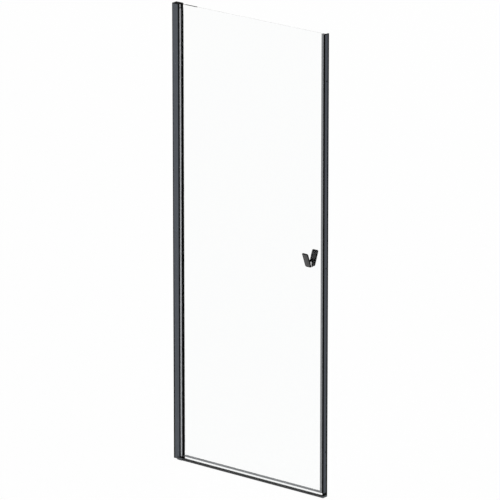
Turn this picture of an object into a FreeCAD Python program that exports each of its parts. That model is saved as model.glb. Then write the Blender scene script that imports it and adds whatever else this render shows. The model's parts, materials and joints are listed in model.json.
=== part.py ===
import FreeCAD, Part
import math
import os

# Shower door for an alcove: a glass leaf that pivots beside a hinge post, between two wall channels
# and over a low threshold. Millimetres. The origin is on the floor, midway between the two walls and
# in the middle of the glass. +X runs to the strike side, -Y faces the room, +Z is up.

# Overall size, from wall to wall and from the floor to the top
width = 800.0
height = 2000.0
frame_depth = 29.0

# Hinge wall channel
channel_reach = 30.0
channel_wall = 1.8
channel_lift = 3.0
channel_corner = 1.2
wall_hole_radius = 3.25
wall_hole_spacing = 1600.0

# End caps of the wall channels
cap_height = 2.0
cap_plug_depth = 8.0
cap_plug_gap = 0.15
cap_edge = 0.6

# Hinge post, which slides in the channel and is locked by screws
post_show = 7.0
post_overlap = 16.0
post_wall = 1.6
post_face_wall = 3.2
post_corner = 0.8
slide_gap = 0.1

# Screws that lock the post, and their snap caps
post_screw_radius = 1.9
post_screw_grip = 3.0
post_screw_hole_gap = 0.3
post_screw_thread_gap = 0.05
screw_head_radius = 3.6
screw_head_height = 2.2
screw_cap_wall = 1.0
screw_cap_gap = 0.2
screw_cap_edge = 0.9
post_screw_spacing = 720.0

# Gasket clipped into the face of the hinge post
gasket_width = 11.0
gasket_edge = 0.5
gasket_base = 0.6
gasket_stem = 3.0
gasket_head = 5.0
gasket_stem_depth = 1.0
gasket_head_depth = 1.0
gasket_fit = 0.1
lip_width = 1.4
lip_gap = 0.5

# Glass
glass_thickness = 6.0
glass_top_drop = 1.4
notch_gap = 1.0

# Hinge stile on the edge of the glass
stile_wall = 1.1
stile_gasket_thickness = 0.5
stile_clearance = 1.9
stile_grip = 4.5
glass_past_axis = 1.0
stile_end_gap = 0.5

# Pivots
upper_block_height = 19.0
lower_block_height = 10.5
block_plug_length = 20.0
block_plug_gap = 0.15
crown_margin = 1.5
pin_radius = 2.5
pin_reach = 18.0
pin_hold = 7.0
pin_seat_gap = 0.02
pin_running_gap = 0.05
plug_length = 25.0
plug_gap = 0.05
washer_thickness = 0.8
washer_margin = 0.4
cover_thickness = 0.6
cover_seam = 3.5

# Threshold
bar_height = 6.5
bar_back = 3.0
bar_edge = 1.0
hinge_end_length = 27.0
hinge_end_tongue = 10.0
shoe_height = 12.5
shoe_thickness = 2.0
shoe_corner = 3.0
foot_height = 12.0
foot_collar = 8.5
foot_collar_inset = 2.0

# Strike wall channel and the magnetic insert in it
strike_reach = 6.5
insert_recess = 0.8
insert_gap = 0.2
magnet_width = 7.0
magnet_thickness = 1.6
magnet_gap = 0.05
stop_lip_reach = 10.0
stop_lip_thickness = 1.6
stop_gasket_thickness = 1.6
stop_gasket_gap = 0.3

# Seals on the glass
closing_gap = 1.5
seal_wall = 1.0
seal_fit = 0.05
magnet_box = 7.5
seal_grip = 9.5
edge_magnet_gap = 0.1
bottom_seal_height = 7.6
seal_start_gap = 1.5
seal_corner_gap = 0.6
bottom_lip_height = 9.0
bottom_lip_gap = 0.5
bottom_lip_setback = 10.0
bottom_lip_root = 2.4
bottom_lip_tip = 0.9

# Strip on the top edge of the glass
strip_start = 17.5
strip_length = 61.5
strip_thickness = 1.2

# Handle, a pair of leaning paddles bolted through the glass
handle_inset = 82.0
handle_level = 992.9
paddle_width = 31.4
paddle_length = 68.3
paddle_thickness = 4.4
paddle_lean = 21.0
paddle_offset = 14.9
paddle_corner = 6.5
paddle_edge = 1.6
paddle_foot_width = 22.0
paddle_foot_height = 22.0
paddle_foot_lift = 2.5
pad_thickness = 2.0
pad_margin = 2.0
stud_radius = 3.0
stud_bite = 8.0
stud_gap = 0.05
glass_hole_radius = 6.0
sleeve_gap = 0.1
grub_radius = 2.0
grub_offset = 4.0

# Angle in degrees under which two directions count as parallel
parallel_within = 2.5

# Places worked out from the sizes
half_depth = frame_depth / 2
half_glass = glass_thickness / 2
hinge_wall = -width / 2
strike_wall = width / 2
mid_height = height / 2
channel_edge = hinge_wall + channel_reach
channel_inner = half_depth - channel_wall
channel_top = height - cap_height
post_half = channel_inner - slide_gap
post_back = channel_edge - post_overlap
post_face = channel_edge + post_show
cavity_radius = half_glass + stile_gasket_thickness
stile_radius = cavity_radius + stile_wall
axis_x = post_face + stile_clearance + stile_radius
crown_radius = stile_radius + crown_margin
lower_level = bar_height + lower_block_height
upper_level = height - upper_block_height
stile_low = lower_level + washer_thickness
stile_high = upper_level - stile_end_gap
stile_edge = axis_x + stile_grip
glass_left = axis_x - glass_past_axis
glass_top = height - glass_top_drop
notch_edge = axis_x + crown_radius + notch_gap
strike_edge = strike_wall - strike_reach
insert_face = strike_edge + insert_recess
seal_end = insert_face - closing_gap
glass_right = seal_end - magnet_box - seal_wall
seal_low = bar_height + bottom_lip_gap + bottom_lip_height
glass_bottom = seal_low + seal_wall
seal_inner = half_glass + seal_fit
seal_half = seal_inner + seal_wall
edge_seal_start = glass_right - seal_grip
handle_x = strike_wall - handle_inset
pad_face = half_glass + pad_thickness
paddle_slope = math.radians(paddle_lean)
foot_low = handle_level + paddle_foot_lift
foot_high = foot_low + paddle_foot_height
stud_level = (foot_low + foot_high) / 2


def vector(x, y, z):
    return FreeCAD.Vector(x, y, z)


def block(x, y, z):
    size = (x[1] - x[0], y[1] - y[0], z[1] - z[0])
    return Part.makeBox(*size, vector(x[0], y[0], z[0]))


def rod(radius, start, end):
    along = end.sub(start)
    return Part.makeCylinder(radius, along.Length, start, along)


def upright(radius, x, y, z):
    return rod(radius, vector(x, y, z[0]), vector(x, y, z[1]))


def plan(points, z):
    corners = [vector(x, y, z[0]) for x, y in points]
    face = Part.Face(Part.makePolygon(corners + corners[:1]))
    return face.extrude(vector(0, 0, z[1] - z[0]))


def section(points, x):
    corners = [vector(x[0], y, z) for y, z in points]
    face = Part.Face(Part.makePolygon(corners + corners[:1]))
    return face.extrude(vector(x[1] - x[0], 0, 0))


def joined(first, *others):
    return first.fuse(list(others)).removeSplitter()


def keyhole(radius, right, z):
    # Half round about the pivot axis on the hinge side, with flat sides running on to the right
    low = vector(axis_x, -radius, z[0])
    high = vector(axis_x, radius, z[0])
    back = Part.Arc(low, vector(axis_x - radius, 0, z[0]), high).toShape()
    sides = Part.makePolygon([high, vector(right, radius, z[0]), vector(right, -radius, z[0]), low])
    return Part.Face(Part.Wire([back] + sides.Edges)).extrude(vector(0, 0, z[1] - z[0]))


def edges_along(shape, direction, test):
    limit = math.cos(math.radians(parallel_within))
    picked = []
    for edge in shape.Edges:
        straight = isinstance(edge.Curve, Part.Line)
        if straight and abs(edge.tangentAt(edge.FirstParameter).dot(direction)) > limit:
            if test(edge.CenterOfMass):
                picked.append(edge)
    return picked


def upright_edges(shape, test):
    return edges_along(shape, vector(0, 0, 1), test)


def rounded_at(shape, wall_x, radius):
    corners = upright_edges(shape, lambda c: abs(c.x - wall_x) < channel_wall)
    return shape.makeFillet(radius, corners)


def save(shape, name):
    if not shape.isValid():
        raise RuntimeError(name + " is not a valid shape")
    shape.exportStep(os.path.join("parts", name + ".step"))
    solids = len(shape.Solids)
    print(f"{name}: {solids} solid(s), {shape.Volume / 1000:.1f} cm3")


def levels(spacing):
    return [mid_height - spacing / 2, mid_height, mid_height + spacing / 2]


def wall_holes(start, end):
    return [
        rod(wall_hole_radius, vector(start, 0, z), vector(end, 0, z))
        for z in levels(wall_hole_spacing)
    ]


# Hinge side, fixed to the wall
def hinge_wall_channel():
    z = (channel_lift, channel_top)
    body = block((hinge_wall, channel_edge), (-half_depth, half_depth), z)
    body = rounded_at(body, hinge_wall, channel_corner)
    inside = (hinge_wall + channel_wall, channel_edge)
    body = body.cut(block(inside, (-channel_inner, channel_inner), z))
    body = body.cut(wall_holes(hinge_wall, hinge_wall + channel_wall))
    return body.cut(post_screw_rods(post_screw_radius + post_screw_hole_gap, post_half, half_depth))


def channel_cap(start, end, wall_x, plug_start, plug_end):
    cap = block((start, end), (-half_depth, half_depth), (channel_top, height))
    cap = rounded_at(cap, wall_x, channel_corner)
    rim = [e for e in cap.Edges if e.BoundBox.ZMin > height - cap_height / 2]
    cap = cap.makeFillet(cap_edge, rim)
    half = channel_inner - cap_plug_gap
    plug = block((plug_start, plug_end), (-half, half), (channel_top - cap_plug_depth, channel_top))
    return joined(cap, plug)


def hinge_wall_cap():
    plug_start = hinge_wall + channel_wall + cap_plug_gap
    plug_end = post_back - cap_plug_gap
    return channel_cap(hinge_wall, channel_edge, hinge_wall, plug_start, plug_end)


def post_screw_x():
    return (post_back + channel_edge) / 2


def post_screw_rods(radius, near, far):
    x = post_screw_x()
    return [rod(radius, vector(x, near, z), vector(x, far, z)) for z in levels(post_screw_spacing)]


def gasket_places():
    front = -post_half + gasket_edge
    middle = front + gasket_width / 2
    return front, front + gasket_width, middle


def hinge_post():
    z = (lower_level, upper_level)
    body = block((post_back, post_face), (-post_half, post_half), z)
    front = upright_edges(body, lambda c: c.x > post_face - post_wall)
    body = body.makeFillet(post_corner, front)
    inner = post_half - post_wall
    body = body.cut(block((post_back + post_wall, post_face - post_face_wall), (-inner, inner), z))
    middle = gasket_places()[2]
    mouth = (post_face - gasket_stem_depth, post_face)
    seat = (mouth[0] - gasket_head_depth, mouth[0])
    stem = gasket_stem / 2
    head = gasket_head / 2
    body = body.cut(block(mouth, (middle - stem, middle + stem), z))
    body = body.cut(block(seat, (middle - head, middle + head), z))
    return body.cut(post_screw_rods(post_screw_radius + post_screw_thread_gap, inner, post_half))


def hinge_gasket():
    front, back, middle = gasket_places()
    stem = gasket_stem / 2 - gasket_fit
    head = gasket_head / 2 - gasket_fit
    neck = post_face - gasket_stem_depth - gasket_fit
    tail = post_face - gasket_stem_depth - gasket_head_depth + gasket_fit
    skin = post_face + gasket_base
    lip = axis_x - stile_radius - lip_gap
    return plan(
        [
            (tail, middle - head),
            (neck, middle - head),
            (neck, middle - stem),
            (post_face, middle - stem),
            (post_face, front),
            (skin, front),
            (skin, back - lip_width),
            (lip, back - lip_width / 2),
            (lip, back),
            (post_face, back),
            (post_face, middle + stem),
            (neck, middle + stem),
            (neck, middle + head),
            (tail, middle + head),
        ],
        (lower_level, upper_level),
    )


def pivot_block(z, plug_z):
    body = block((post_back, post_face), (-post_half, post_half), z)
    arm = block((post_face, axis_x), (-stile_radius, stile_radius), z)
    half = post_half - post_wall - block_plug_gap
    plug_x = (post_back + post_wall + block_plug_gap, post_face - post_face_wall - block_plug_gap)
    plug = block(plug_x, (-half, half), plug_z)
    return joined(body, arm, upright(stile_radius, axis_x, 0, z), plug)


def upper_pivot_block():
    body = pivot_block((upper_level, channel_top), (upper_level - block_plug_length, upper_level))
    crown_z = (channel_top, height)
    crown = block((channel_edge, post_face), (-half_depth, half_depth), crown_z)
    bridge = block((post_face, axis_x), (-crown_radius, crown_radius), crown_z)
    body = joined(body, crown, bridge, upright(crown_radius, axis_x, 0, crown_z))
    seat = (upper_level, upper_level + pin_hold)
    return body.cut(upright(pin_radius + pin_seat_gap, axis_x, 0, seat))


def upper_pivot_cover():
    front = gasket_places()[0]
    back = -stile_radius
    z = (upper_level + cover_seam, channel_top)
    return block((post_face, post_face + cover_thickness), (front, back), z)


def upper_pivot_pin():
    return upright(pin_radius, axis_x, 0, (upper_level - pin_reach, upper_level + pin_hold))


def lower_pivot_block():
    body = pivot_block((bar_height, lower_level), (lower_level, lower_level + block_plug_length))
    seat = (lower_level - pin_hold, lower_level)
    return body.cut(upright(pin_radius + pin_seat_gap, axis_x, 0, seat))


def lower_pivot_pin():
    return upright(pin_radius, axis_x, 0, (lower_level - pin_hold, lower_level + pin_reach))


def lower_thrust_washer():
    z = (lower_level, stile_low)
    ring = upright(stile_radius - washer_margin, axis_x, 0, z)
    return ring.cut(upright(pin_radius + pin_running_gap, axis_x, 0, z))


def post_screws():
    inner = post_half - post_wall - post_screw_grip
    screws = []
    for shank, head in zip(
        post_screw_rods(post_screw_radius, inner, half_depth),
        post_screw_rods(screw_head_radius, half_depth, half_depth + screw_head_height),
    ):
        screws.append(joined(shank, head))
    return Part.makeCompound(screws)


def post_screw_caps():
    inside_radius = screw_head_radius + screw_cap_gap
    inside_end = half_depth + screw_head_height + screw_cap_gap
    caps = []
    for shell, hollow in zip(
        post_screw_rods(inside_radius + screw_cap_wall, half_depth, inside_end + screw_cap_wall),
        post_screw_rods(inside_radius, half_depth, inside_end),
    ):
        rim = [e for e in shell.Edges if e.CenterOfMass.y > inside_end and len(e.Vertexes) == 1]
        caps.append(shell.makeFillet(screw_cap_edge, rim).cut(hollow))
    return Part.makeCompound(caps)


# Threshold and its two ends
def hinge_end_x():
    return channel_edge - hinge_end_tongue


def bar_start():
    return hinge_end_x() + hinge_end_length


def threshold_bar():
    body = block((bar_start(), strike_edge), (-half_depth, bar_back), (0, bar_height))
    top = edges_along(body, vector(1, 0, 0), lambda c: c.z > bar_height / 2)
    return body.makeFillet(bar_edge, top)


def threshold_hinge_end():
    under_post = block((channel_edge, post_face), (-half_depth, half_depth), (0, bar_height))
    under_pivot = block((post_face, bar_start()), (-half_depth, stile_radius), (0, bar_height))
    full = []
    for body in (under_post, under_pivot):
        top = edges_along(body, vector(1, 0, 0), lambda c: c.z > bar_height / 2)
        full.append(body.makeFillet(bar_edge, top))
    tongue = block((hinge_end_x(), channel_edge), (-half_depth, half_depth), (0, channel_lift))
    shoe_y = (-half_depth - shoe_thickness, -half_depth)
    shoe = block((hinge_end_x(), bar_start()), shoe_y, (0, shoe_height))
    shoe = shoe.makeFillet(shoe_corner, edges_along(shoe, vector(0, 1, 0), lambda c: c.x < channel_edge))
    return joined(*full, tongue, shoe)


def threshold_strike_foot():
    foot = block((strike_edge, strike_wall), (-half_depth, half_depth), (0, foot_height))
    collar_x = (strike_edge + foot_collar_inset, strike_wall)
    collar_z = (foot_height, foot_height + foot_collar)
    collar = block(collar_x, (-half_depth, half_depth), collar_z)
    return rounded_at(joined(foot, collar), strike_wall, channel_corner)


# Strike side, fixed to the other wall
def strike_z():
    return (foot_height + foot_collar, channel_top)


def strike_wall_channel():
    body = block((strike_edge, strike_wall), (-half_depth, half_depth), strike_z())
    body = rounded_at(body, strike_wall, channel_corner)
    inside = (strike_edge, strike_wall - channel_wall)
    body = body.cut(block(inside, (-channel_inner, channel_inner), strike_z()))
    return body.cut(wall_holes(strike_wall - channel_wall, strike_wall))


def strike_cap():
    plug_end = strike_wall - channel_wall - cap_plug_gap
    return channel_cap(strike_edge, strike_wall, strike_wall, insert_face, plug_end)


def insert_z():
    return (strike_z()[0], channel_top - cap_plug_depth - cap_plug_gap)


def stop_front():
    return seal_half + stop_gasket_gap + stop_gasket_thickness


def strike_insert():
    half = channel_inner - insert_gap
    body = block((insert_face, strike_wall - channel_wall - insert_gap), (-half, half), insert_z())
    lip_y = (stop_front(), stop_front() + stop_lip_thickness)
    lip = block((insert_face - stop_lip_reach, insert_face), lip_y, insert_z())
    groove_half = magnet_width / 2 + magnet_gap
    groove = block((insert_face, insert_face + magnet_thickness), (-groove_half, groove_half), insert_z())
    return joined(body, lip).cut(groove)


def strike_magnet():
    half = magnet_width / 2
    return block((insert_face, insert_face + magnet_thickness), (-half, half), insert_z())


def stop_gasket():
    y = (stop_front() - stop_gasket_thickness, stop_front())
    x = (insert_face - stop_lip_reach, insert_face - closing_gap)
    return block(x, y, insert_z())


# Leaf, which turns about the pivot axis
def glass():
    outline = [
        (glass_left, stile_low + plug_length),
        (notch_edge, stile_low + plug_length),
        (notch_edge, glass_bottom),
        (glass_right, glass_bottom),
        (glass_right, glass_top),
        (notch_edge, glass_top),
        (notch_edge, stile_high - plug_length),
        (glass_left, stile_high - plug_length),
    ]
    corners = [vector(x, -half_glass, z) for x, z in outline]
    pane = Part.Face(Part.makePolygon(corners + corners[:1])).extrude(vector(0, glass_thickness, 0))
    return pane.cut(through_glass(glass_hole_radius))


def through_glass(radius):
    front = vector(handle_x, -half_glass, stud_level)
    return rod(radius, front, vector(handle_x, half_glass, stud_level))


def hinge_stile():
    z = (stile_low, stile_high)
    return keyhole(stile_radius, stile_edge, z).cut(keyhole(cavity_radius, stile_edge, z))


def stile_gasket():
    z = (stile_low + plug_length, stile_high - plug_length)
    pane = block((glass_left, stile_edge), (-half_glass, half_glass), z)
    return keyhole(cavity_radius, stile_edge, z).cut(pane)


def bearing_plug(z, bore_z):
    body = keyhole(cavity_radius - plug_gap, stile_edge, z)
    return body.cut(upright(pin_radius + pin_running_gap, axis_x, 0, bore_z))


def lower_bearing_plug():
    z = (stile_low, stile_low + plug_length)
    return bearing_plug(z, (stile_low, lower_level + pin_reach + stile_end_gap))


def upper_bearing_plug():
    z = (stile_high - plug_length, stile_high)
    return bearing_plug(z, (upper_level - pin_reach - stile_end_gap, stile_high))


def bottom_seal_x():
    return (notch_edge + seal_start_gap, edge_seal_start - seal_corner_gap)


def bottom_seal():
    top = seal_low + bottom_seal_height
    return section(
        [
            (-seal_half, seal_low),
            (seal_half, seal_low),
            (seal_half, top),
            (seal_inner, top),
            (seal_inner, glass_bottom),
            (-seal_inner, glass_bottom),
            (-seal_inner, top),
            (-seal_half, top),
        ],
        bottom_seal_x(),
    )


def bottom_lip():
    low = seal_low - bottom_lip_height
    root = bottom_lip_root / 2
    tip = bottom_lip_tip / 2
    start, end = bottom_seal_x()
    corners = [(-root, seal_low), (-tip, low), (tip, low), (root, seal_low)]
    return section(corners, (start + bottom_lip_setback, end))


def edge_seal():
    z = (seal_low, glass_top)
    box = block((edge_seal_start, seal_end), (-seal_half, seal_half), z)
    slot = block((edge_seal_start, glass_right), (-seal_inner, seal_inner), z)
    hollow_x = (glass_right + seal_wall, seal_end - seal_wall)
    half = seal_half - seal_wall
    return box.cut(slot).cut(block(hollow_x, (-half, half), z))


def edge_magnet():
    x = (glass_right + seal_wall + edge_magnet_gap, seal_end - seal_wall - edge_magnet_gap)
    half = seal_half - seal_wall - edge_magnet_gap
    return block(x, (-half, half), (seal_low, glass_top))


def top_edge_strip():
    start = axis_x + strip_start
    z = (glass_top, glass_top + strip_thickness)
    return block((start, start + strip_length), (-half_glass, half_glass), z)


# Handle
def paddle_middle(z):
    # Depth of the middle of the paddle's thickness at this height
    across = paddle_thickness / math.cos(paddle_slope)
    return paddle_offset + (z - handle_level) * math.tan(paddle_slope) - across / 2


def front_paddle():
    half = paddle_width / 2
    plate = block((-half, half), (0, paddle_thickness), (0, paddle_length))
    plate = plate.makeFillet(paddle_corner, edges_along(plate, vector(0, 1, 0), lambda c: True))
    plate = plate.makeFillet(paddle_edge, [e for e in plate.Edges if e.BoundBox.YLength < paddle_edge])
    plate.rotate(vector(0, 0, 0), vector(1, 0, 0), paddle_lean)
    plate.translate(vector(handle_x, -paddle_offset, handle_level))
    foot_x = (handle_x - paddle_foot_width / 2, handle_x + paddle_foot_width / 2)
    foot = section(
        [
            (-pad_face, foot_low),
            (-pad_face, foot_high),
            (-paddle_middle(foot_high), foot_high),
            (-paddle_middle(foot_low), foot_low),
        ],
        foot_x,
    )
    body = joined(plate, foot)
    stud_end = vector(handle_x, -pad_face - stud_bite, stud_level)
    body = body.cut(rod(stud_radius + stud_gap, stud_end, vector(handle_x, -pad_face, stud_level)))
    return body.cut(grub_screw(stud_gap))


def grub_screw(extra):
    y = -pad_face - grub_offset
    return upright(grub_radius + extra, handle_x, y, (foot_low, stud_level - stud_radius))


def mirrored(shape):
    return shape.mirror(vector(0, 0, 0), vector(0, 1, 0))


def front_pad():
    half = paddle_foot_width / 2 + pad_margin
    z = (foot_low - pad_margin, foot_high + pad_margin)
    pad = block((handle_x - half, handle_x + half), (-pad_face, -half_glass), z)
    pad = pad.makeFillet(pad_margin, edges_along(pad, vector(0, 1, 0), lambda c: True))
    hole_end = vector(handle_x, -half_glass, stud_level)
    return pad.cut(rod(stud_radius + stud_gap, vector(handle_x, -pad_face, stud_level), hole_end))


def handle_sleeve():
    return through_glass(glass_hole_radius - sleeve_gap).cut(through_glass(stud_radius + stud_gap))


def handle_stud():
    reach = pad_face + stud_bite
    return rod(stud_radius, vector(handle_x, -reach, stud_level), vector(handle_x, reach, stud_level))


def handle_grub_screws():
    screw = grub_screw(0)
    return Part.makeCompound([screw, mirrored(screw)])


def main():
    os.makedirs("parts", exist_ok=True)
    pieces = [
        hinge_wall_channel,
        hinge_wall_cap,
        hinge_post,
        hinge_gasket,
        upper_pivot_block,
        upper_pivot_cover,
        upper_pivot_pin,
        lower_pivot_block,
        lower_pivot_pin,
        lower_thrust_washer,
        post_screws,
        post_screw_caps,
        threshold_bar,
        threshold_hinge_end,
        threshold_strike_foot,
        strike_wall_channel,
        strike_cap,
        strike_insert,
        strike_magnet,
        stop_gasket,
        glass,
        hinge_stile,
        stile_gasket,
        lower_bearing_plug,
        upper_bearing_plug,
        bottom_seal,
        bottom_lip,
        edge_seal,
        edge_magnet,
        top_edge_strip,
        handle_sleeve,
        handle_stud,
        handle_grub_screws,
    ]
    for piece in pieces:
        save(piece(), piece.__name__)
    for name, shape in (("paddle", front_paddle()), ("pad", front_pad())):
        save(shape, "handle_front_" + name)
        save(mirrored(shape), "handle_rear_" + name)


main()
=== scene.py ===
import json
import math

import bmesh
import bpy
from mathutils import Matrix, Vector

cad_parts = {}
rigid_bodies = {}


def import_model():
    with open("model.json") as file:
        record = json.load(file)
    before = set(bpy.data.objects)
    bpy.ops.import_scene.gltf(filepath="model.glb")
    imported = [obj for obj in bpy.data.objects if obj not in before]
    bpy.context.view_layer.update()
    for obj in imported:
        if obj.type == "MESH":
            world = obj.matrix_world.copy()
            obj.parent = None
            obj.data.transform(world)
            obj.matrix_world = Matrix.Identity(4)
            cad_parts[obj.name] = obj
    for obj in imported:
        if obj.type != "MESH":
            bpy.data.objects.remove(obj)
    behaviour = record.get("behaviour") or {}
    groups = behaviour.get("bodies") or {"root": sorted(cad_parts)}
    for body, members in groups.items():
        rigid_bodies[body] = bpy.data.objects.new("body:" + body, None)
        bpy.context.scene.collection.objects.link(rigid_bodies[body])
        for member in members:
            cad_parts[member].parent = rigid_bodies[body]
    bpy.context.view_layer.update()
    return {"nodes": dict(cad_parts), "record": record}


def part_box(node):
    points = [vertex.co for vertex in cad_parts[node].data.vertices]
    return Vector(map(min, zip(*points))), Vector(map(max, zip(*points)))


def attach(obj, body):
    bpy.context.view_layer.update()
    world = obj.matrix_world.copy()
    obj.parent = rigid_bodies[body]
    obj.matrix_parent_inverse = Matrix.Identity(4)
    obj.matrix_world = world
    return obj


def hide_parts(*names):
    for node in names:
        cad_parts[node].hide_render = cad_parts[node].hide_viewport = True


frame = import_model()
nodes = frame["nodes"]
bodyOf = {node: body for body, held in frame["record"]["behaviour"]["bodies"].items() for node in held}
scene = bpy.context.scene
scene.view_settings.view_transform = "Standard"
mm = 0.001
print("door frame loaded:", len(nodes), "pieces")


class Wire:  # a node's output that takes part in plain sums
    def __init__(self, sheet, socket):
        self.sheet = sheet
        self.socket = socket

    def __add__(self, other):
        return self.sheet.maths("ADD", self, other)

    def __rsub__(self, other):
        return self.sheet.maths("SUBTRACT", other, self)

    def __mul__(self, other):
        return self.sheet.maths("MULTIPLY", self, other)

    __radd__ = __add__
    __rmul__ = __mul__


class NodeSheet:  # the nodes of one material, or of the world
    def __init__(self, owner):
        owner.use_nodes = True
        self.owner = owner
        self.tree = owner.node_tree
        self.tree.nodes.clear()

    def add(self, kind, settings=None, sockets=None, output=0):
        made = self.tree.nodes.new("ShaderNode" + kind)
        for name, value in (settings or {}).items():
            setattr(made, name, value)
        for name, value in (sockets or {}).items():
            if isinstance(value, Wire):
                self.tree.links.new(value.socket, made.inputs[name])
            else:
                made.inputs[name].default_value = value
        return Wire(self, made.outputs[output]) if made.outputs else made

    def maths(self, operation, first, second):
        return self.add("Math", {"operation": operation}, {0: first, 1: second})

    def mix(self, factor, first, second):
        settings = {"data_type": "RGBA", "clamp_factor": True}
        return self.add("Mix", settings, {0: factor, 6: first, 7: second}, output=2)

    def step(self, value, middle, blur):  # 0 below the middle, 1 above it, smooth over the blur on each side
        settings = {"interpolation_type": "SMOOTHSTEP"}
        return self.add(
            "MapRange", settings, {"Value": value, "From Min": middle - blur, "From Max": middle + blur}
        )

    def place(self):
        return self.add("TexCoord", output="Object")

    def along(self, axis):
        return self.add("SeparateXYZ", sockets={"Vector": self.place()}, output=axis)

    def grain(self, size, detail, roughness=0.5):  # noise whose spots are about size mm across
        scale = [1 / (across * mm) for across in size]
        spread = self.add("Mapping", sockets={"Vector": self.place(), "Scale": scale})
        sockets = {"Vector": spread, "Scale": 1.0, "Detail": detail, "Roughness": roughness}
        return self.add("TexNoise", sockets=sockets)

    def bump(self, height, depth, strength):
        return self.add("Bump", sockets={"Height": height, "Distance": depth * mm, "Strength": strength})

    def surface(self, sockets):
        return self.add("BsdfPrincipled", sockets=sockets)

    def finish(self, shader):
        self.add("OutputMaterial", sockets={"Surface": shader})
        return self.owner


neutral = (1, 1, 1)


def grey(level, tint=neutral):
    return (level * tint[0], level * tint[1], level * tint[2], 1.0)


# Coated profiles and the pale gasket: a band in the finish's own tone, painted shade beyond it (dark and
# dull), faint streaks
coatGrain = {
    "streak": 0.25, "streakTone": 0.6, "paintedShadeStreakTone": 0.5, "streakRough": 0.12, "paintedShadeRough": 0.2,
    "peelSize": (0.7, 0.7, 0.7), "peelStrength": 0.4, "detail": 3,
}
# In each look the two dark tones that follow the band are painted shade, the first below the band and the
# second above it
coatsWithPaintedShade = {
    # hinge channel: painted shade on its wall-side edge, the strip wider towards the bottom
    "hingeCoat": {
        "axis": "X", "band": (-392.6, -360), "blur": 0.5, "taper": (0.0018, 0),
        "tone": 0.06, "tint": (0.87, 1, 1.23), "corner": 0.005, "farPaintedShade": 0.005, "paintedShadeShine": 0.04,
        "drawn": (1.5, 1.5, 400), "roughness": 0.38, "shine": 0.45, "peel": 0.03,
    },
    # strike channel: painted shade on the front flange and along the rear edge
    "strikeCoat": {
        "axis": "Y", "band": (-11.6, 5.2), "blur": 0.9, "taper": (0, 0),
        "tone": 0.056, "tint": (0.87, 1, 1.23), "corner": 0.002, "farPaintedShade": 0.006, "paintedShadeShine": 0.02,
        "drawn": (1.5, 1.5, 400), "roughness": 0.42, "shine": 0.2, "peel": 0.03,
    },
    # threshold bar: painted shade on the top face and upper front edge, above 5.4 mm
    "barCoat": {
        "axis": "Z", "band": (-5, 5.4), "blur": 0.4, "taper": (0, 0),
        "tone": 0.054, "tint": (0.97, 1, 1.03), "corner": 0.005, "farPaintedShade": 0.03, "paintedShadeShine": 0.05,
        "drawn": (400, 1.5, 1.5), "roughness": 0.42, "shine": 0.25, "peel": 0.03,
    },
    # threshold hinge end: painted shade on its top, above 10.6 mm
    "endCoat": {
        "axis": "Z", "band": (-5, 10.6), "blur": 0.4, "taper": (0, 0),
        "tone": 0.068, "tint": (0.95, 1, 1.08), "corner": 0.003, "farPaintedShade": 0.003, "paintedShadeShine": 0.02,
        "drawn": (3, 3, 3), "roughness": 0.42, "shine": 0.3, "peel": 0.03,
    },
    # strike foot: painted shade on the collar above 8 mm
    "footCoat": {
        "axis": "Z", "band": (-5, 8.0), "blur": 0.5, "taper": (0, 0),
        "tone": 0.088, "tint": (0.95, 1, 1.08), "corner": 0.002, "farPaintedShade": 0.002, "paintedShadeShine": 0.02,
        "drawn": (3, 3, 3), "roughness": 0.42, "shine": 0.2, "peel": 0.03,
    },
    # pale gasket and upper cover: painted shade on the front edge and on the rear lip by the stile, the lip
    # wider towards the bottom
    "lightGasket": {
        "axis": "Y", "band": (-13, -4.7), "blur": 0.3, "taper": (-0.001, -0.0013),
        "tone": 0.66, "tint": (0.98, 1, 1.04), "corner": 0.01, "farPaintedShade": 0.01, "paintedShadeShine": 0.05,
        "drawn": (1.2, 1.2, 120), "roughness": 0.5, "shine": 0.3, "peel": 0.05,
    },
}


def coatWithPaintedShade(name, look):
    sheet = NodeSheet(bpy.data.materials.new(name))
    across = sheet.along(look["axis"])
    low, high = [edge * mm for edge in look["band"]]  # the band's edges along the axis
    blur = look["blur"] * mm
    height = sheet.along("Z")
    fromLow, fromHigh = [across + taper * height for taper in look["taper"]]  # edges may slant with height
    # flat is 1 inside the band; beyond it the colour is painted shade
    flat = sheet.step(fromLow, low, blur) * (1 - sheet.step(fromHigh, high, blur))
    far = sheet.step(across, (low + high) / 2, blur)
    drawn = sheet.grain(look["drawn"], coatGrain["detail"])
    streak = drawn * coatGrain["streak"]
    streakTone = grey(look["tone"] * coatGrain["streakTone"], look["tint"])
    tone = sheet.mix(streak, grey(look["tone"], look["tint"]), streakTone)
    paintedShadeStreak = grey(look["corner"] * coatGrain["paintedShadeStreakTone"])
    # painted shade colour, one value on each side of the band's middle
    beyond = sheet.mix(far, grey(look["corner"]), grey(look["farPaintedShade"]))
    paintedShadeColour = sheet.mix(streak, beyond, paintedShadeStreak)
    skin = sheet.grain(coatGrain["peelSize"], coatGrain["detail"])
    peel = sheet.bump(skin, look["peel"], coatGrain["peelStrength"])
    body = sheet.surface(
        {
            "Base Color": tone,
            "Roughness": look["roughness"] + coatGrain["streakRough"] * drawn,
            "Specular IOR Level": look["shine"],
            "Normal": peel,
        }
    )
    # the dark, dull shader that carries the painted shade beyond the band
    corner = sheet.surface(
        {
            "Base Color": paintedShadeColour,
            "Roughness": look["roughness"] + coatGrain["paintedShadeRough"] * drawn,
            "Specular IOR Level": look["paintedShadeShine"],
            "Normal": peel,
        }
    )
    return sheet.finish(sheet.add("MixShader", sockets={0: flat, 1: corner, 2: body}))


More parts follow.
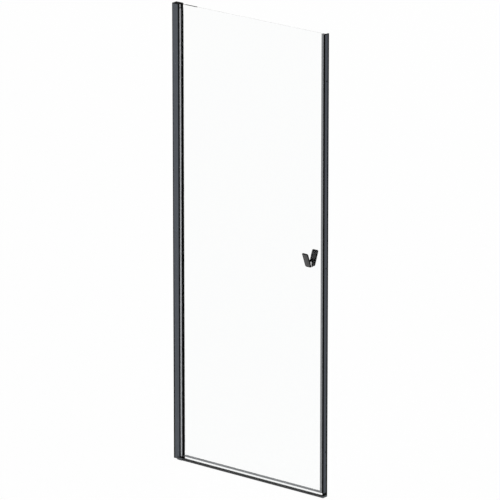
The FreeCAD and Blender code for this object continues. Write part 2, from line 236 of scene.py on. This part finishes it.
# Anodised aluminium, moulded plastic, rubber and steel: one tone, softly clouded, with a grain of its own
plainGrain = {
    "darker": 0.85, "lighter": 1.15, "cloudRough": 0.1, "cloudDetail": 3,
    "detail": 4, "roughness": 0.6, "strength": 0.5,
}
plainLooks = {
    "blackAnodised": {
        "tone": 0.006, "tint": neutral, "cloudSize": (2, 2, 300), "grainSize": (0.5, 0.5, 40), "depth": 0.01,
        "roughness": 0.4, "metal": 0.0, "shine": 0.04,
    },
    "blackStile": {
        "tone": 0.002, "tint": neutral, "cloudSize": (2, 2, 300), "grainSize": (0.5, 0.5, 40), "depth": 0.01,
        "roughness": 0.45, "metal": 0.0, "shine": 0.02,
    },
    "mouldedBlack": {
        "tone": 0.006, "tint": neutral, "cloudSize": (6, 6, 6), "grainSize": (0.35, 0.35, 0.35), "depth": 0.04,
        "roughness": 0.6, "metal": 0.0, "shine": 0.01,
    },
    "greySeal": {
        "tone": 0.24, "tint": (0.97, 1, 1.03), "cloudSize": (1.2, 1.2, 120), "grainSize": (0.5, 0.5, 12),
        "depth": 0.05, "roughness": 0.5, "metal": 0.0, "shine": 0.3,
    },
    "softBlack": {
        "tone": 0.008, "tint": neutral, "cloudSize": (3, 3, 60), "grainSize": (0.4, 0.4, 0.4), "depth": 0.04,
        "roughness": 0.75, "metal": 0.0, "shine": 0.03,
    },
    "handleCoat": {
        "tone": 0.003, "tint": neutral, "cloudSize": (9, 9, 9), "grainSize": (0.8, 0.8, 0.8), "depth": 0.002,
        "roughness": 0.0, "metal": 0.0, "shine": 0.78,
    },
    "handleInside": {
        "tone": 0.003, "tint": neutral, "cloudSize": (9, 9, 9), "grainSize": (0.8, 0.8, 0.8), "depth": 0.002,
        "roughness": 0.0, "metal": 0.0, "shine": 0.4,
    },
    "handleRim": {
        "tone": 0.003, "tint": neutral, "cloudSize": (9, 9, 9), "grainSize": (0.8, 0.8, 0.8), "depth": 0.01,
        "roughness": 0.35, "metal": 0.0, "shine": 0.05,
    },
    "paleFoot": {
        "tone": 0.85, "tint": neutral, "cloudSize": (5, 5, 5), "grainSize": (0.3, 0.3, 3), "depth": 0.02,
        "roughness": 0.35, "metal": 0.0, "shine": 0.4,
    },
    "turnedSteel": {
        "tone": 0.5, "tint": (1.02, 1, 0.98), "cloudSize": (3, 3, 0.6), "grainSize": (8, 8, 0.12),
        "depth": 0.01, "roughness": 0.28, "metal": 1.0, "shine": 0.5,
    },
    "whiteAcetal": {
        "tone": 0.78, "tint": (1.01, 1, 0.99), "cloudSize": (4, 4, 1), "grainSize": (6, 6, 0.15),
        "depth": 0.01, "roughness": 0.4, "metal": 0.0, "shine": 0.5,
    },
}


def plainFinish(name, look):
    sheet = NodeSheet(bpy.data.materials.new(name))
    cloud = sheet.grain(look["cloudSize"], plainGrain["cloudDetail"])
    grain = sheet.grain(look["grainSize"], plainGrain["detail"], plainGrain["roughness"])
    darker, lighter = [grey(look["tone"] * plainGrain[end], look["tint"]) for end in ("darker", "lighter")]
    return sheet.finish(
        sheet.surface(
            {
                "Base Color": sheet.mix(cloud, darker, lighter),
                "Roughness": look["roughness"] + plainGrain["cloudRough"] * cloud,
                "Metallic": look["metal"],
                "Specular IOR Level": look["shine"],
                "Normal": sheet.bump(grain, look["depth"], plainGrain["strength"]),
            }
        )
    )


# Clear glass and lip, which let lamp light through: the pane has the slight wave of toughening
clearWave = {"detail": 1, "strength": 0.2}
clearLooks = {
    "paneGlass": {
        "tint": (0.978, 0.984, 0.982, 1.0), "roughness": 0.0, "bend": 1.45, "shine": 0.05, "cover": 1.0,
        "waveSize": (260, 260, 180), "waveDepth": 0.02,
    },
    "paneEdge": {
        "tint": (0.94, 0.97, 0.96, 1.0), "roughness": 0.2, "bend": 1.45, "shine": 0.3, "cover": 0.08,
        "waveSize": (30, 2, 30), "waveDepth": 0.02,
    },
    "clearLip": {
        "tint": (0.97, 0.98, 0.98, 1.0), "roughness": 0.12, "bend": 1.3, "shine": 0.3, "cover": 1.0,
        "waveSize": (40, 2, 4), "waveDepth": 0.05,
    },
}


def clearFinish(name, look):
    sheet = NodeSheet(bpy.data.materials.new(name))
    wave = sheet.grain(look["waveSize"], clearWave["detail"])
    body = sheet.surface(
        {
            "Base Color": look["tint"],
            "Roughness": look["roughness"],
            "IOR": look["bend"],
            "Specular IOR Level": look["shine"],
            "Alpha": look["cover"],
            "Transmission Weight": 1.0,
            "Normal": sheet.bump(wave, look["waveDepth"], clearWave["strength"]),
        }
    )
    letThrough = sheet.add("BsdfTransparent", sockets={"Color": look["tint"]})
    fromLamp = sheet.add("LightPath", output="Is Shadow Ray")
    return sheet.finish(sheet.add("MixShader", sockets={0: fromLamp, 1: body, 2: letThrough}))


finishes = {}
for make, looks in ((coatWithPaintedShade, coatsWithPaintedShade), (plainFinish, plainLooks), (clearFinish, clearLooks)):
    for name, look in looks.items():
        finishes[name] = make(name, look)
print("finishes ready:", len(finishes))


def linkPiece(name, mesh, node):
    piece = bpy.data.objects.new(name, mesh)
    scene.collection.objects.link(piece)
    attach(piece, bodyOf[node])
    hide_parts(node)
    return piece


# Pieces that keep the frame's shape and get their edges broken, widths in mm
brokenEdges = {
    "hinge_wall_channel": {"piece": "hingeChannel", "finish": "hingeCoat", "edge": 0.3},
    "hinge_wall_cap": {"piece": "hingeChannelCap", "finish": "mouldedBlack", "edge": 0.3},
    "hinge_post": {"piece": "hingePost", "finish": "blackAnodised", "edge": 0.3},
    "hinge_gasket": {"piece": "hingeGasket", "finish": "lightGasket", "edge": 0.2},
    "upper_pivot_block": {"piece": "upperPivotBlock", "finish": "mouldedBlack", "edge": 0.3},
    "upper_pivot_cover": {"piece": "upperPivotCover", "finish": "lightGasket", "edge": 0.15},
    "lower_pivot_block": {"piece": "lowerPivotBlock", "finish": "mouldedBlack", "edge": 0.3},
    "post_screw_caps": {"piece": "postScrewCaps", "finish": "mouldedBlack", "edge": 0.15},
    "threshold_bar": {"piece": "thresholdBar", "finish": "barCoat", "edge": 0.2},
    "threshold_hinge_end": {"piece": "thresholdHingeEnd", "finish": "endCoat", "edge": 0.3},
    "threshold_strike_foot": {"piece": "thresholdStrikeFoot", "finish": "footCoat", "edge": 0.3},
    "strike_wall_channel": {"piece": "strikeChannel", "finish": "strikeCoat", "edge": 0.3},
    "strike_cap": {"piece": "strikeChannelCap", "finish": "mouldedBlack", "edge": 0.3},
    "strike_insert": {"piece": "strikeInsert", "finish": "blackAnodised", "edge": 0.2},
    "stop_gasket": {"piece": "stopGasket", "finish": "softBlack", "edge": 0.3},
    "hinge_stile": {"piece": "hingeStile", "finish": "blackStile", "edge": 0.2},
    "bottom_seal": {"piece": "bottomSeal", "finish": "greySeal", "edge": 0.25},
    "edge_seal": {"piece": "edgeSeal", "finish": "greySeal", "edge": 0.25},
    "top_edge_strip": {"piece": "topEdgeStrip", "finish": "softBlack", "edge": 0.3},
    "handle_front_paddle": {"piece": "frontPaddle", "finish": "handleCoat", "edge": 0.3},
    "handle_rear_paddle": {"piece": "rearPaddle", "finish": "handleCoat", "edge": 0.3},
    "handle_front_pad": {"piece": "frontPad", "finish": "softBlack", "edge": 0.3, "slot": "black_rubber"},
    "handle_rear_pad": {"piece": "rearPad", "finish": "softBlack", "edge": 0.3, "slot": "black_rubber"},
    "glass": {"piece": "glassPane", "finish": "paneGlass", "edge": 0.4},
}
edgeWork = {
    "mergeWithin": 1e-6, "flatWithin": math.radians(0.5), "brokenOver": math.radians(50),
    "sharpOver": math.radians(40), "segments": 2, "faceWeight": 100,
}


def brokenCopy(node, look):
    mesh = nodes[node].data.copy()
    bm = bmesh.new()
    bm.from_mesh(mesh)
    bmesh.ops.remove_doubles(bm, verts=bm.verts, dist=edgeWork["mergeWithin"])
    bmesh.ops.dissolve_limit(bm, angle_limit=edgeWork["flatWithin"], verts=bm.verts, edges=bm.edges)
    sharp = [e for e in bm.edges if e.is_manifold and e.calc_face_angle() > edgeWork["brokenOver"]]
    bmesh.ops.bevel(
        bm, geom=sharp, offset=look["edge"] * mm, offset_type="OFFSET", segments=edgeWork["segments"],
        profile=0.5, affect="EDGES", clamp_overlap=True, material=-1,
    )
    bm.to_mesh(mesh)
    bm.free()
    mesh.materials.clear()
    mesh.materials.append(finishes[look["finish"]])
    mesh.shade_smooth()
    mesh.set_sharp_from_angle(angle=edgeWork["sharpOver"])
    piece = linkPiece(look["piece"], mesh, node)
    weighted = piece.modifiers.new("flatFaces", "WEIGHTED_NORMAL")  # keeps flat faces flat beside broken edges
    weighted.weight = edgeWork["faceWeight"]
    weighted.keep_sharp = True


for node, look in brokenEdges.items():
    brokenCopy(node, look)
print("edges broken on", len(brokenEdges), "pieces")

# The pane's ground edges and hole take a finish of their own
pane = {"piece": "glassPane", "edgeFinish": "paneEdge", "flatOver": 0.9}
paneMesh = bpy.data.objects[pane["piece"]].data
paneMesh.materials.append(finishes[pane["edgeFinish"]])
for face in paneMesh.polygons:
    if abs(face.normal.y) < pane["flatOver"]:
        face.material_index = 1
print("pane edges finished")

# Paddles: a slight crown on the outside, dull rims and borders, and a pale cheek on the front one's foot
paddles = {
    "lean": 21, "thickness": 4.4, "thinner": 0.6, "strips": 12, "border": 2.6, "flatOver": 0.9995,
    "cheekOver": 0.9, "cheekWithin": 12.5, "faceReach": 0.51,
}


def crownPaddle(name, side, cheek):
    lean = math.radians(paddles["lean"])
    outward = Vector((0, side * math.cos(lean), -math.sin(lean)))
    mesh = bpy.data.objects[name].data
    bm = bmesh.new()
    bm.from_mesh(mesh)
    left = min(v.co.x for v in bm.verts)
    right = max(v.co.x for v in bm.verts)
    middle, half = (left + right) / 2, (right - left) / 2
    rimSlot, cheekSlot, insideSlot = 1, 2, 3
    flat = [f for f in bm.faces if abs(f.normal.dot(outward)) > paddles["flatOver"]]
    rim = [f for f in bm.faces if abs(f.normal.dot(outward)) <= paddles["flatOver"]]
    border = bmesh.ops.inset_region(
        bm, faces=flat, thickness=paddles["border"] * mm, use_even_offset=True
    )["faces"]
    for face in rim + border:
        face.material_index = rimSlot
    for face in flat:
        if face.normal.dot(outward) < 0:
            face.material_index = insideSlot
    for strip in range(1, paddles["strips"]):
        cut = Vector((left + (right - left) * strip / paddles["strips"], 0, 0))
        cells = bm.verts[:] + bm.edges[:] + bm.faces[:]
        bmesh.ops.bisect_plane(bm, geom=cells, plane_co=cut, plane_no=(1, 0, 0))
    depth = paddles["thickness"] * mm
    midPlane = max(v.co.dot(outward) for v in bm.verts) - depth / 2
    for v in bm.verts:
        off = v.co.dot(outward) - midPlane
        if 0 < off < depth * paddles["faceReach"]:
            across = (v.co.x - middle) / half
            v.co -= outward * (off * paddles["thinner"] * across * across)
    bm.to_mesh(mesh)
    bm.free()
    for finish in ("handleRim", cheek, "handleInside"):
        mesh.materials.append(finishes[finish])
    for face in mesh.polygons:
        onFoot = abs(face.center.x - middle) < paddles["cheekWithin"] * mm
        if onFoot and abs(face.normal.x) > paddles["cheekOver"]:
            face.material_index = cheekSlot


crownPaddle("frontPaddle", -1, "paleFoot")
crownPaddle("rearPaddle", 1, "handleRim")
print("paddles crowned")

# Grub screws under the handle feet, with hex sockets
grubScrews = {
    "piece": "grubScrews", "finish": "turnedSteel", "turns": 24,
    "socketSides": 6, "socketAcross": 2.0, "socketDepth": 1.8, "chamfer": 0.3,
}


def grubScrew(bm, low, high):
    middle = (low + high) / 2
    radius = (high.x - low.x) / 2
    chamfer = grubScrews["chamfer"] * mm
    corner = grubScrews["socketAcross"] * mm / math.sqrt(3)
    ring = bmesh.ops.create_circle(bm, segments=grubScrews["turns"], radius=radius - chamfer)
    socket = bmesh.ops.create_circle(bm, segments=grubScrews["socketSides"], radius=corner)
    ringEdges = list({e for v in ring["verts"] for e in v.link_edges})
    socketEdges = list({e for v in socket["verts"] for e in v.link_edges})
    made = set(ring["verts"]) | set(socket["verts"])
    bmesh.ops.bridge_loops(bm, edges=ringEdges + socketEdges)

    def raised(edges, rise, scale):
        drawn = bmesh.ops.extrude_edge_only(bm, edges=edges)["geom"]
        verts = [g for g in drawn if isinstance(g, bmesh.types.BMVert)]
        made.update(verts)
        bmesh.ops.scale(bm, vec=(scale, scale, 1), verts=verts)
        bmesh.ops.translate(bm, vec=(0, 0, rise), verts=verts)
        return [g for g in drawn if isinstance(g, bmesh.types.BMEdge)]

    bmesh.ops.contextual_create(bm, geom=raised(socketEdges, grubScrews["socketDepth"] * mm, 1.0))
    full = raised(ringEdges, chamfer, radius / (radius - chamfer))
    top = raised(full, high.z - low.z - chamfer, 1.0)
    bmesh.ops.contextual_create(bm, geom=top)
    bmesh.ops.translate(bm, vec=(middle.x, middle.y, low.z), verts=list(made))


low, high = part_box("handle_grub_screws")
screwSize = high.x - low.x
bm = bmesh.new()
grubScrew(bm, low, Vector((high.x, low.y + screwSize, high.z)))
grubScrew(bm, Vector((low.x, high.y - screwSize, low.z)), high)
bmesh.ops.recalc_face_normals(bm, faces=bm.faces)
grubMesh = bpy.data.meshes.new(grubScrews["piece"])
bm.to_mesh(grubMesh)
bm.free()
grubMesh.materials.append(finishes[grubScrews["finish"]])
linkPiece(grubScrews["piece"], grubMesh, "handle_grub_screws")
print("grub screws made")

# Inner pieces keep the frame's own mesh
innerFinish = {
    "upper_pivot_pin": "turnedSteel",
    "lower_pivot_pin": "turnedSteel",
    "post_screws": "turnedSteel",
    "handle_stud": "turnedSteel",
    "lower_thrust_washer": "whiteAcetal",
    "lower_bearing_plug": "mouldedBlack",
    "upper_bearing_plug": "mouldedBlack",
    "handle_sleeve": "whiteAcetal",
    "strike_magnet": "softBlack",
    "edge_magnet": "softBlack",
    "stile_gasket": "softBlack",
    "bottom_lip": "clearLip",
}
for node, finish in innerFinish.items():
    nodes[node].data.materials.clear()
    nodes[node].data.materials.append(finishes[finish])
print("inner pieces finished")

# Studio: white floor that keeps the shadow, white surroundings, soft lamps
studio = {"floor": "paleFloor", "floorSize": 90, "floorTone": 0.9, "whiteShare": 0.97, "ambient": 0.6}


def seenDirectly(sheet):
    seen = 0
    for ray in ("Is Camera Ray", "Is Glossy Ray", "Is Transmission Ray"):
        seen = sheet.add("LightPath", output=ray) + seen
    return sheet.maths("MINIMUM", seen, 1.0)


def floorFinish():
    sheet = NodeSheet(bpy.data.materials.new(studio["floor"]))
    matt = sheet.add("BsdfDiffuse", sockets={"Color": grey(studio["floorTone"])})
    white = sheet.add("Emission", sockets={"Color": grey(1.0), "Strength": 1.0})
    share = seenDirectly(sheet) * studio["whiteShare"]
    return sheet.finish(sheet.add("MixShader", sockets={0: share, 1: matt, 2: white}))


bm = bmesh.new()
bmesh.ops.create_grid(bm, x_segments=1, y_segments=1, size=studio["floorSize"] / 2)
floorMesh = bpy.data.meshes.new(studio["floor"])
bm.to_mesh(floorMesh)
bm.free()
floorMesh.materials.append(floorFinish())
floor = bpy.data.objects.new(studio["floor"], floorMesh)
scene.collection.objects.link(floor)

scene.world = bpy.data.worlds.new("whiteStudio")
sky = NodeSheet(scene.world)
strength = studio["ambient"] + (1 - studio["ambient"]) * seenDirectly(sky)
glow = sky.add("Background", sockets={"Color": grey(1.0), "Strength": strength})
sky.add("OutputWorld", sockets={"Surface": glow})

lampAim = Vector((0, 0, 1.0))
lamps = {
    "keyLamp": {"at": (1.0, -16.0, 5.0), "size": 8.0, "watts": 820},
    "sideLamp": {"at": (15.0, -3.0, 4.0), "size": 8.0, "watts": 500},
    "backLamp": {"at": (-4.0, 14.0, 6.0), "size": 8.0, "watts": 500},
}
for name, look in lamps.items():
    data = bpy.data.lights.new(name, "AREA")
    data.size = look["size"]
    data.energy = look["watts"]
    lamp = bpy.data.objects.new(name, data)
    lamp.location = look["at"]
    lamp.rotation_euler = (lampAim - lamp.location).to_track_quat("-Z", "Y").to_euler()
    scene.collection.objects.link(lamp)

# Camera at the photograph's angle
view = {
    "azimuth": 38.42, "elevation": 17.58, "distance": 24.808, "target": (0.0007, 0, 1.0015),
    "lens": 430.3, "sensor": 36, "farthest": 300,
}
turn = math.radians(view["azimuth"])
rise = math.radians(view["elevation"])
back = Vector((math.sin(turn) * math.cos(rise), -math.cos(turn) * math.cos(rise), math.sin(rise)))
cameraData = bpy.data.cameras.new("photoCamera")
cameraData.lens = view["lens"]
cameraData.sensor_width = view["sensor"]
cameraData.clip_end = view["farthest"]
camera = bpy.data.objects.new("photoCamera", cameraData)
camera.location = Vector(view["target"]) + back * view["distance"]
camera.rotation_euler = (-back).to_track_quat("-Z", "Y").to_euler()
scene.collection.objects.link(camera)
scene.camera = camera
print("studio and camera set")
